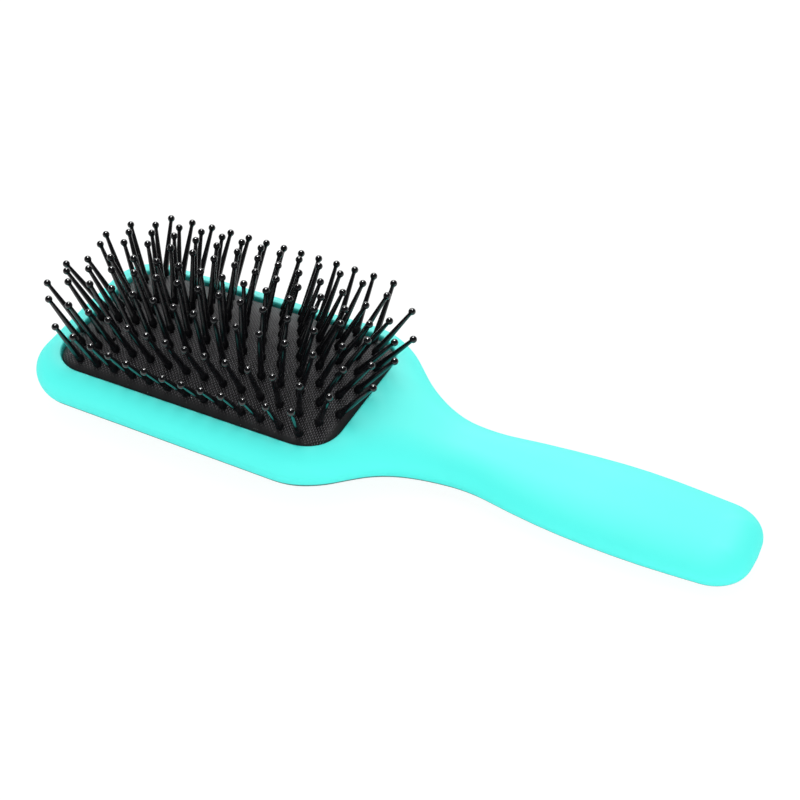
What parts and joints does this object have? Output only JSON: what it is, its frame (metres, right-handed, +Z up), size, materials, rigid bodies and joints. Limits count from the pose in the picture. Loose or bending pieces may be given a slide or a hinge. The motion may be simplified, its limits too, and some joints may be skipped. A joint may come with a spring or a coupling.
{
  "type": "detangling brush",
  "caption": "Paddle-shaped detangling hair brush with a domed rubber cushion, ball-tipped pins that fan out from it, and a flat waisted handle, lying on its back.",
  "frame": {"origin": "on the flat of the back, under the middle of the cushion", "axes": "+X along the brush towards the handle end, +Y across it, +Z up out of the cushion"},
  "size_m": [0.2419, 0.0781, 0.0479],
  "materials": {
    "body": "soft-touch matte",
    "rubber": "fine embossed weave, matte",
    "pins": "gloss"
  },
  "bodies": {
    "handle": {"front_shell": "body", "back_shell": "body"},
    "cushion_bed": {"cushion": "rubber"},
    "pins_1": {"pin_row_1": "pins"},
    "pins_2": {"pin_row_2": "pins"},
    "pins_3": {"pin_row_3": "pins"},
    "pins_4": {"pin_row_4": "pins"},
    "pins_5": {"pin_row_5": "pins"},
    "pins_6": {"pin_row_6": "pins"},
    "pins_7": {"pin_row_7": "pins"},
    "pins_8": {"pin_row_8": "pins"},
    "pins_9": {"pin_row_9": "pins"}
  },
  "joints": [
    {"name": "cushion_press", "type": "slide", "parent": "handle", "child": "cushion_bed", "axis": [0, 0, 1], "range_m": [-0.003, 0], "stiffness_N_per_m": 6000, "deforming": ["cushion"]},
    {"name": "row_1_rake", "type": "hinge", "parent": "cushion_bed", "child": "pins_1", "pos_m": [0, -0.0246, 0.0196], "axis": [1, 0, 0], "range_deg": [-6, 6], "stiffness_Nm_per_rad": 0.4, "deforming": ["cushion"]},
    {"name": "row_2_rake", "type": "hinge", "parent": "cushion_bed", "child": "pins_2", "pos_m": [0, -0.01845, 0.0218], "axis": [1, 0, 0], "range_deg": [-6, 6], "stiffness_Nm_per_rad": 0.4, "deforming": ["cushion"]},
    {"name": "row_3_rake", "type": "hinge", "parent": "cushion_bed", "child": "pins_3", "pos_m": [0, -0.0123, 0.0231], "axis": [1, 0, 0], "range_deg": [-6, 6], "stiffness_Nm_per_rad": 0.4, "deforming": ["cushion"]},
    {"name": "row_4_rake", "type": "hinge", "parent": "cushion_bed", "child": "pins_4", "pos_m": [0, -0.00615, 0.0246], "axis": [1, 0, 0], "range_deg": [-6, 6], "stiffness_Nm_per_rad": 0.4, "deforming": ["cushion"]},
    {"name": "row_5_rake", "type": "hinge", "parent": "cushion_bed", "child": "pins_5", "pos_m": [0, 0, 0.0246], "axis": [1, 0, 0], "range_deg": [-6, 6], "stiffness_Nm_per_rad": 0.4, "deforming": ["cushion"]},
    {"name": "row_6_rake", "type": "hinge", "parent": "cushion_bed", "child": "pins_6", "pos_m": [0, 0.00615, 0.0246], "axis": [1, 0, 0], "range_deg": [-6, 6], "stiffness_Nm_per_rad": 0.4, "deforming": ["cushion"]},
    {"name": "row_7_rake", "type": "hinge", "parent": "cushion_bed", "child": "pins_7", "pos_m": [0, 0.0123, 0.0231], "axis": [1, 0, 0], "range_deg": [-6, 6], "stiffness_Nm_per_rad": 0.4, "deforming": ["cushion"]},
    {"name": "row_8_rake", "type": "hinge", "parent": "cushion_bed", "child": "pins_8", "pos_m": [0, 0.01845, 0.0218], "axis": [1, 0, 0], "range_deg": [-6, 6], "stiffness_Nm_per_rad": 0.4, "deforming": ["cushion"]},
    {"name": "row_9_rake", "type": "hinge", "parent": "cushion_bed", "child": "pins_9", "pos_m": [0, 0.0246, 0.0196], "axis": [1, 0, 0], "range_deg": [-6, 6], "stiffness_Nm_per_rad": 0.4, "deforming": ["cushion"]}
  ]
}
